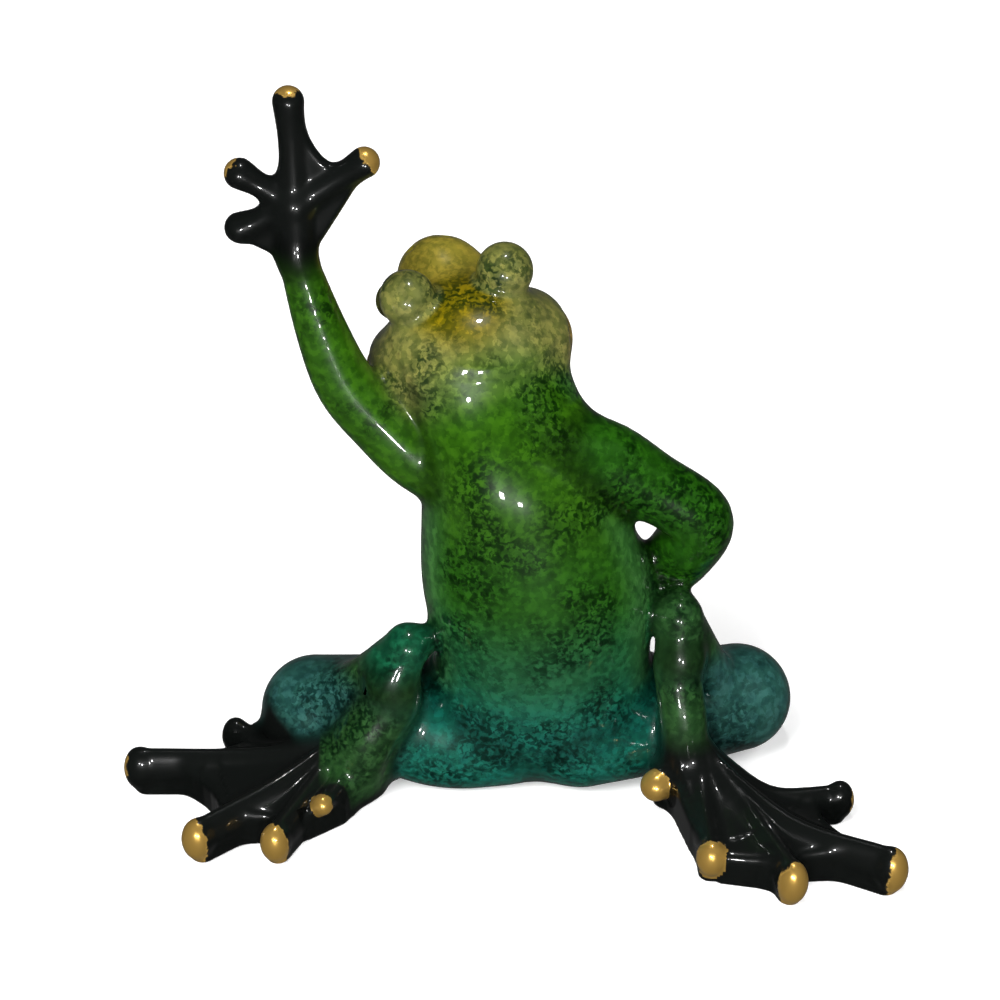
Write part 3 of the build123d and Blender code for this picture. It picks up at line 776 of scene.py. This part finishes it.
LEAF = colour("1d4004")
GRASS = colour("143b05")
SEA_GREEN = colour("103c21")
DEEP_TEAL = colour("064638")
LAKE_TEAL = colour("1c4039")
HEEL_TEAL = colour("0a3d26")
MOSS = colour("183416")
NAPE = colour("365018")
OCHRE = colour("564f04")
OLIVE = colour("545829")
TAN = colour("776e25")
ROSE_TAN = colour("766035")
CREAM = colour("807b43")
SAGE_SHEEN = colour("2f5a2c")
BLACK = colour("0a0c0b")

FLANK_SHEEN_AMOUNT, FLANK_SHEEN_SLOPES = 0.6, (0.6, 0.95)
CROWN_SHAPE = 0.8
WRIST_FADE = 3.0
HEEL_DROPS, SHANK_DROPS = (7.0, 1.0), (12.0, 6.0)
KNEE_DISTANCES = 24.0, 32.0
STRIP_EDGE = 0.2
KNEE_BLACK_SLOPE, KNEE_BLACK_FADE, KNEE_BLACK_DEPTH = 0.62, 1.5, 5.0
PAINT_BLEND = 0.8
CREASE_SHADE, CREASE_HALF_WIDTH = 0.5, 2.2
FLECK_BRIGHTNESS, FLECK_FLOOR = 6.0, 0.2
BELLY_CALM = 0.6

# Torso and head: each colour, and the places in millimetres between which it comes in
x, y, z = points.T
side, up, forward = head_local(x, y, z)
front = fade(y - np.interp(z, TORSO_HEIGHTS, TORSO_MIDDLES_Y), 2, 11)
# Painted reflection: pale sage laid on the torso's sides where they turn away from the camera, standing
# in for the glaze's sheen
flank_sheen = fade(np.abs(normals[:, 0]), *FLANK_SHEEN_SLOPES)
torso_layers = [
    (SEA_GREEN, fade(z, 14, 30)),
    (GRASS, fade(z, 28, 46)),
    (LEAF, fade(z, 46, 64)),
    (SAGE_SHEEN, FLANK_SHEEN_AMOUNT * flank_sheen),
    (CREAM, front * fade(z, 6, 20)),
]
from_eyes = np.min([np.linalg.norm(points - head_place(at), axis=1) for at in EYE_MOUNDS], axis=0)
from_crown = np.hypot(side, CROWN_SHAPE * forward)
head_layers = [
    (NAPE, fade(forward, -24, -18)),
    (OLIVE, fade(forward, -17, -10)),
    (OCHRE, fade(from_crown, 11, 6)),
    (TAN, fade(forward, 3, 8)),
    (ROSE_TAN, fade(up, 1, -3) * fade(forward, -12, -6)),
    (CREAM, fade(up, -4, -7)),
    (OLIVE, fade(from_eyes, 6.6, 5.6)),
]


# Paint of the limbs
def rising(heel, drops):
    """A smooth step from the first height below a heel up to the second."""
    return fade(z, heel[2] - drops[0], heel[2] - drops[1])


def leg_paint(heel, paint):
    """Teal on the thigh and the knee, green up the shank, and the heel's own colour."""
    teal = over(DEEP_TEAL, LAKE_TEAL, fade(np.abs(x - TORSO_MIDDLES_X[0]), *KNEE_DISTANCES))
    return layered(teal, [(MOSS, rising(heel, SHANK_DROPS)), (paint, rising(heel, HEEL_DROPS))])


def foot_paint(heel, paint, strip, spread, start, end):
    """Black webs, and a strip that is green from the heel down to a height."""
    green = over(MOSS, paint, rising(heel, HEEL_DROPS))
    return over(BLACK, green, fade(strip.at(points), spread, STRIP_EDGE) * fade(z, start, end))


left_wrist_black = fade(z, left_wrist[2] - WRIST_FADE, left_wrist[2] + WRIST_FADE)
right_wrist_black = fade(z, right_wrist[2] + WRIST_FADE, right_wrist[2] - WRIST_FADE)
knee_line = LEFT_KNEE[2] - KNEE_BLACK_SLOPE * (x - LEFT_KNEE[0])
knee_black = fade(knee_line - z, -KNEE_BLACK_FADE, KNEE_BLACK_FADE)
knee_back = fade(LEFT_KNEE[1] - y, 0, KNEE_BLACK_DEPTH)
paints = {
    "torso": layered(DEEP_TEAL, torso_layers),
    "head": layered(LEAF, head_layers),
    "left_arm": over(LEAF, BLACK, left_wrist_black),
    "right_arm": over(GRASS, BLACK, right_wrist_black),
    "left_hand": BLACK,
    "right_hand": BLACK,
    "left_leg": over(leg_paint(LEFT_HEEL, HEEL_TEAL), BLACK, knee_black * knee_back),
    "right_leg": leg_paint(RIGHT_HEEL, MOSS),
    "left_foot": foot_paint(LEFT_HEEL, HEEL_TEAL, left_strip_field, spread=5, start=1, end=4),
    "right_foot": foot_paint(RIGHT_HEEL, MOSS, right_strip_field, spread=2, start=12, end=20),
}
weights = np.exp(-(distances - distances.min(1)[:, None]) / PAINT_BLEND)
weights /= weights.sum(1)[:, None]
tint = sum(weights[:, [i]] * paints[name] for i, name in enumerate(names))
# Painted shade: the colour is darkened along the creases where two castings meet
nearest = np.sort(np.delete(distances, names.index("head"), axis=1), axis=1)
crease_shading = np.exp(-(((nearest[:, 1] - nearest[:, 0]) / CREASE_HALF_WIDTH) ** 2))
tint *= 1 - CREASE_SHADE * crease_shading[:, None]
fleck = np.clip(tint.max(1) / BLACK.max() / FLECK_BRIGHTNESS - FLECK_FLOOR, 0, 1)
fleck *= 1 - BELLY_CALM * front[:, 0]

# Materials
PALE_FLECKS = (1.7, 1.5, 1.6, 1)
SHADED_FLECKS = (0.6, 0.65, 0.7, 1)
DARK_FLECKS = (0.15, 0.25, 0.25, 1)
GOLD = (0.62, 0.38, 0.09, 1)
GOLD_RAGGEDNESS, GOLD_EDGE, GOLD_METALLIC = 1.2, 0.2, 0.8
MIX_UNDER, MIX_OVER, MIX_RESULT = 6, 7, 2


def texture(tree, scale, detail, distortion, seed):
    """Noise fixed to the object, with its own place in the pattern."""
    place = tree.nodes.new("ShaderNodeTexCoord")
    noise = tree.nodes.new("ShaderNodeTexNoise")
    noise.noise_dimensions = "4D"
    noise.inputs["W"].default_value = seed
    noise.inputs["Scale"].default_value = scale
    noise.inputs["Detail"].default_value = detail
    noise.inputs["Distortion"].default_value = distortion
    tree.links.new(place.outputs["Object"], noise.inputs["Vector"])
    return noise.outputs["Fac"]


def stepped(tree, value, start, end):
    """A smooth step of a value from 0 to 1."""
    step = tree.nodes.new("ShaderNodeMapRange")
    step.interpolation_type = "SMOOTHSTEP"
    step.inputs["From Min"].default_value = start
    step.inputs["From Max"].default_value = end
    tree.links.new(value, step.inputs["Value"])
    return step.outputs["Result"]


def worked(tree, operation, *values):
    """The result of a sum on values, some of which may be numbers."""
    node = tree.nodes.new("ShaderNodeMath")
    node.operation = operation
    for value, socket in zip(values, node.inputs):
        if isinstance(value, float):
            socket.default_value = value
        else:
            tree.links.new(value, socket)
    return node.outputs["Value"]


def flakes(tree, scale, wobble):
    """A value of its own for each cell of a ragged pattern, fixed to the object."""
    place = tree.nodes.new("ShaderNodeTexCoord")
    noise = tree.nodes.new("ShaderNodeTexNoise")
    noise.inputs["Scale"].default_value = 2 * scale
    moved = tree.nodes.new("ShaderNodeVectorMath")
    moved.operation = "MULTIPLY_ADD"
    moved.inputs[1].default_value = (wobble, wobble, wobble)
    cells = tree.nodes.new("ShaderNodeTexVoronoi")
    cells.inputs["Scale"].default_value = scale
    tree.links.new(place.outputs["Object"], noise.inputs["Vector"])
    tree.links.new(noise.outputs["Color"], moved.inputs[0])
    tree.links.new(place.outputs["Object"], moved.inputs[2])
    tree.links.new(moved.outputs["Vector"], cells.inputs["Vector"])
    return cells.outputs["Color"]


def mixed(tree, amount, under, paint, mode="MIX"):
    """One colour laid over another in a material."""
    node = tree.nodes.new("ShaderNodeMix")
    node.data_type = "RGBA"
    node.blend_type = mode
    node.inputs[MIX_OVER].default_value = paint
    tree.links.new(amount, node.inputs["Factor"])
    tree.links.new(under, node.inputs[MIX_UNDER])
    return node.outputs[MIX_RESULT]


def read(tree, name, output):
    """A value kept with the points of the skin."""
    node = tree.nodes.new("ShaderNodeAttribute")
    node.attribute_name = name
    return node.outputs[output]


def new_material(name):
    """An empty glossy material, its node tree and its shader."""
    material = bpy.data.materials.new(name)
    material.use_nodes = True
    tree = material.node_tree
    shader = tree.nodes["Principled BSDF"]
    shader.inputs["Roughness"].default_value = 0.32
    shader.inputs["Specular IOR Level"].default_value = 0.2
    shader.inputs["Coat Weight"].default_value = 1.0
    shader.inputs["Coat Roughness"].default_value = 0.04
    shader.inputs["Coat IOR"].default_value = 1.4
    return material, tree, shader


def flecked(tree):
    """The painted colour with pale, shaded and dark flecks."""
    strength = read(tree, "fleck", "Fac")
    patches = texture(tree, scale=75, detail=3, distortion=0.5, seed=3)
    specks = texture(tree, scale=950, detail=5, distortion=0.8, seed=1)
    clouds = texture(tree, scale=600, detail=4, distortion=0.3, seed=5)
    grains = flakes(tree, scale=950, wobble=0.0009)
    patches = stepped(tree, patches, start=0.42, end=0.6)
    specks = stepped(tree, specks, start=0.45, end=0.56)
    layers = [
        (PALE_FLECKS, stepped(tree, grains, start=0.35, end=0.75)),
        (SHADED_FLECKS, stepped(tree, clouds, start=0.4, end=0.65)),
        (DARK_FLECKS, worked(tree, "MULTIPLY", specks, patches)),
    ]
    paint = read(tree, "tint", "Color")
    for shade, amount in layers:
        paint = mixed(tree, worked(tree, "MULTIPLY", amount, strength), paint, shade, "MULTIPLY")
    return paint


def glaze(name):
    """Glossy mottled glaze."""
    material, tree, shader = new_material(name)
    tree.links.new(flecked(tree), shader.inputs["Base Color"])
    return material


def gilding(name):
    """Mottled glaze with gold brushed over the ends of the digits, with a ragged edge."""
    material, tree, shader = new_material(name)
    noise = texture(tree, scale=700, detail=3, distortion=0.5, seed=9)
    ragged = worked(tree, "MULTIPLY_ADD", noise, 2 * GOLD_RAGGEDNESS, -GOLD_RAGGEDNESS)
    gold = stepped(tree, worked(tree, "ADD", read(tree, "gold", "Fac"), ragged), -GOLD_EDGE, GOLD_EDGE)
    tree.links.new(mixed(tree, gold, flecked(tree), GOLD), shader.inputs["Base Color"])
    tree.links.new(worked(tree, "MULTIPLY", gold, GOLD_METALLIC), shader.inputs["Metallic"])
    return material


SLOTS = {
    "torso": "green_glaze",
    "head": "yellow_glaze",
    "left_arm": "green_glaze",
    "right_arm": "green_glaze",
    "left_hand": "black_glaze",
    "right_hand": "black_glaze",
    "left_finger_tips": "gilding",
    "right_finger_tips": "gilding",
    "left_leg": "teal_glaze",
    "right_leg": "teal_glaze",
    "left_foot": "black_glaze",
    "right_foot": "black_glaze",
    "left_toe_tips": "gilding",
    "right_toe_tips": "gilding",
}
gilded = {"black_glaze", "gilding"}
materials = {slot: (gilding if slot in gilded else glaze)(slot) for slot in sorted(set(SLOTS.values()))}


# Meshes
def cover(name, corners, faces, values, shading):
    """A mesh with its colour, its flecks and its gold at each point."""
    mesh = bpy.data.meshes.new(name)
    mesh.from_pydata(corners * MM, [], faces)
    mesh.shade_smooth()
    colours = mesh.color_attributes.new("tint", "FLOAT_COLOR", "POINT")
    colours.data.foreach_set("color", np.column_stack([values[0], np.ones(len(corners))]).ravel())
    for label, numbers in zip(("fleck", "gold"), values[1:]):
        mesh.attributes.new(label, "FLOAT", "POINT").data.foreach_set("value", numbers)
    mesh.normals_split_custom_set_from_vertices(shading)
    made = bpy.data.objects.new(name, mesh)
    bpy.context.collection.objects.link(made)
    return made


def closing(triangles):
    """The edges that only one triangle has, with the number of the rim each belongs to."""
    edges = np.vstack([triangles[:, [0, 1]], triangles[:, [1, 2]], triangles[:, [2, 0]]])
    _, place, count = np.unique(np.sort(edges, axis=1), axis=0, return_inverse=True, return_counts=True)
    open_edges = edges[count[place.ravel()] == 1]
    rim = {}
    for a, b in open_edges:
        joined = rim.get(a, {a}) | rim.get(b, {b})
        for corner in joined:
            rim[corner] = joined
    return open_edges, np.array([min(rim[a]) for a, _ in open_edges], int)


def add_piece(name, triangles):
    """One casting's skin, closed where it meets the next casting."""
    used, faces = np.unique(triangles, return_inverse=True)
    faces = faces.reshape(-1, 3)
    corners, shading = points[used], normals[used]
    values = [tint[used], fleck[used], gold_depth[used]]
    edges, rims = closing(faces)
    for rim in np.unique(rims):
        ring = edges[rims == rim]
        hub = corners[ring[:, 0]].mean(0)
        faces = np.vstack([faces, np.column_stack([ring[:, ::-1], np.full(len(ring), len(corners))])])
        corners, shading = np.vstack([corners, hub]), np.vstack([shading, np.zeros(3)])
        values = [np.concatenate([v, v[ring[:1, 0]]]) for v in values]
    made = cover(name + "_skin", corners, faces, values, shading)
    made.data.materials.append(materials[SLOTS[name]])
    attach(made, "root")
    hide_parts(name)


for name, triangles in pieces.items():
    add_piece(name, triangles)


# Eyes: beads that are olive outside a gold iris, with a black pupil
BEAD_INSET = 0.06
BEAD_SPOKES, BEAD_RINGS, POLE_GAP = 96, 64, 0.02
IRIS_GOLD = colour("b08a2a")
IRIS_RADIUS, IRIS_EDGE = 2.6, 0.1
PUPIL_HALF_WIDTH, PUPIL_HALF_HEIGHT, PUPIL_EDGE = 1.7, 1.0, 0.05
GAZE_SPLAY, GAZE_DIP = np.radians([25, 20])
bead_material, bead_tree, bead_shader = new_material("eye_bead")
bead_tree.links.new(read(bead_tree, "tint", "Color"), bead_shader.inputs["Base Color"])
spokes = np.linspace(0, 2 * np.pi, BEAD_SPOKES, endpoint=False)
angle, ring = np.meshgrid(spokes, np.linspace(POLE_GAP, np.pi - POLE_GAP, BEAD_RINGS))
local = np.stack([np.sin(ring) * np.cos(angle), np.sin(ring) * np.sin(angle), np.cos(ring)], axis=-1)
local = local.reshape(-1, 3) * (BEAD_RADIUS - BEAD_INSET)
index = np.arange(len(local)).reshape(ring.shape)
after = np.roll(index, -1, axis=1)
faces = np.stack([index[:-1], index[1:], after[1:], after[:-1]], axis=-1).reshape(-1, 4)
faces = [*faces.tolist(), index[0].tolist(), index[-1][::-1].tolist()]
from_pupil = np.hypot(local[:, 0] / PUPIL_HALF_WIDTH, local[:, 1] / PUPIL_HALF_HEIGHT)
iris = fade(np.hypot(local[:, 0], local[:, 1]), IRIS_RADIUS + IRIS_EDGE, IRIS_RADIUS)
iris *= fade(local[:, 2], 0, IRIS_EDGE)
pupil_left_out = fade(from_pupil, 1 - PUPIL_EDGE, 1 + PUPIL_EDGE)
bead_shading = local / np.linalg.norm(local[0])
bead_paint = layered(OLIVE, [(BLACK, iris), (IRIS_GOLD, pupil_left_out * iris)])
none = np.zeros(len(local))
for node, bead, turn in zip(("left_eye", "right_eye"), eye_beads, (-1, 1)):
    gaze = HEAD_FORWARD * np.cos(GAZE_SPLAY) + HEAD_SIDE * turn * np.sin(GAZE_SPLAY)
    gaze = gaze * np.cos(GAZE_DIP) - HEAD_UP * np.sin(GAZE_DIP)
    across = unit(np.cross(gaze, HEAD_WAYS[1]))
    above = np.cross(across, gaze)
    corners = bead + local @ np.array([across, above, gaze])
    made = cover(node + "_bead", corners, faces, [bead_paint, none, none], bead_shading)
    made.data.materials.append(bead_material)
    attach(made, "root")
    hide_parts(node)

# Pins
steel = bpy.data.materials.new("pin_steel")
steel.use_nodes = True
steel_shader = steel.node_tree.nodes["Principled BSDF"]
steel_shader.inputs["Base Color"].default_value = (0.55, 0.56, 0.58, 1)
steel_shader.inputs["Metallic"].default_value = 1.0
steel_shader.inputs["Roughness"].default_value = 0.35
for name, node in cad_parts.items():
    if name.endswith("_pin"):
        node.data.materials.clear()
        node.data.materials.append(steel)


# Stage: lengths are in metres here
TARGET = (-0.00552, 0.02871, 0.041)
CAMERA_PLACE = (-0.00552, -0.3481, 0.30484)
FLOOR_HALF = 3.0
NEAR_LIGHT, BACKDROP_LIGHT, HORIZON_LIGHT = 0.05, 0.3, 1.0


def facing(place):
    """The turn that faces the figurine from a place."""
    return (Vector(TARGET) - Vector(place)).to_track_quat("-Z", "Y").to_euler()


def area_light(name, place, size, power, shows):
    """A square lamp that faces the figurine, and that may show in its glaze."""
    lamp = bpy.data.lights.new(name, "AREA")
    lamp.size = size
    lamp.energy = power
    made = bpy.data.objects.new(name, lamp)
    made.location = place
    made.rotation_euler = facing(place)
    made.visible_glossy = shows
    bpy.context.collection.objects.link(made)


floor_mesh = bpy.data.meshes.new("floor")
floor_corners = [(FLOOR_HALF * x, FLOOR_HALF * y, 0) for x, y in ((-1, -1), (1, -1), (1, 1), (-1, 1))]
floor_mesh.from_pydata(floor_corners, [], [(0, 1, 2, 3)])
floor = bpy.data.objects.new("floor", floor_mesh)
bpy.context.collection.objects.link(floor)
floor_material = bpy.data.materials.new("floor_white")
floor_material.use_nodes = True
floor_shader = floor_material.node_tree.nodes["Principled BSDF"]
floor_shader.inputs["Base Color"].default_value = (0.9, 0.9, 0.9, 1)
floor_shader.inputs["Roughness"].default_value = 0.9
floor_shader.inputs["Emission Color"].default_value = (1, 1, 1, 1)
floor_shader.inputs["Emission Strength"].default_value = 0.3
floor_mesh.materials.append(floor_material)
floor.visible_glossy = False

world = bpy.data.worlds.new("studio")
world.use_nodes = True
sky = world.node_tree
sky_way = sky.nodes.new("ShaderNodeTexCoord")
sky_parts = sky.nodes.new("ShaderNodeSeparateXYZ")
sky.links.new(sky_way.outputs["Generated"], sky_parts.inputs["Vector"])
behind, height = sky_parts.outputs["Y"], sky_parts.outputs["Z"]
low_behind = stepped(sky, worked(sky, "SUBTRACT", behind, height), start=0.6, end=1.2)
all_behind = stepped(sky, behind, start=0.0, end=0.9)
backdrop = worked(sky, "MULTIPLY_ADD", all_behind, BACKDROP_LIGHT, NEAR_LIGHT)
backdrop = worked(sky, "MULTIPLY_ADD", low_behind, HORIZON_LIGHT, backdrop)
sky.links.new(backdrop, sky.nodes["Background"].inputs["Strength"])
bpy.context.scene.world = world
area_light("key", place=(-0.5, -0.5, 0.9), size=0.6, power=18.0, shows=False)
area_light("fill", place=(0.6, -0.3, 0.6), size=0.6, power=6.0, shows=False)
area_light("left_flash", place=(-0.07, -0.45, 0.14), size=0.03, power=0.6, shows=True)
area_light("right_flash", place=(0.06, -0.45, 0.1), size=0.03, power=0.6, shows=True)
area_light("top_flash", place=(0.03, 0.02, 0.55), size=0.03, power=0.6, shows=True)
bpy.context.scene.view_settings.view_transform = "Standard"

lens = bpy.data.cameras.new("camera")
lens.lens = 90
lens.sensor_width = 36
camera = bpy.data.objects.new("camera", lens)
camera.location = CAMERA_PLACE
camera.rotation_euler = facing(CAMERA_PLACE)
bpy.context.collection.objects.link(camera)
bpy.context.scene.camera = camera
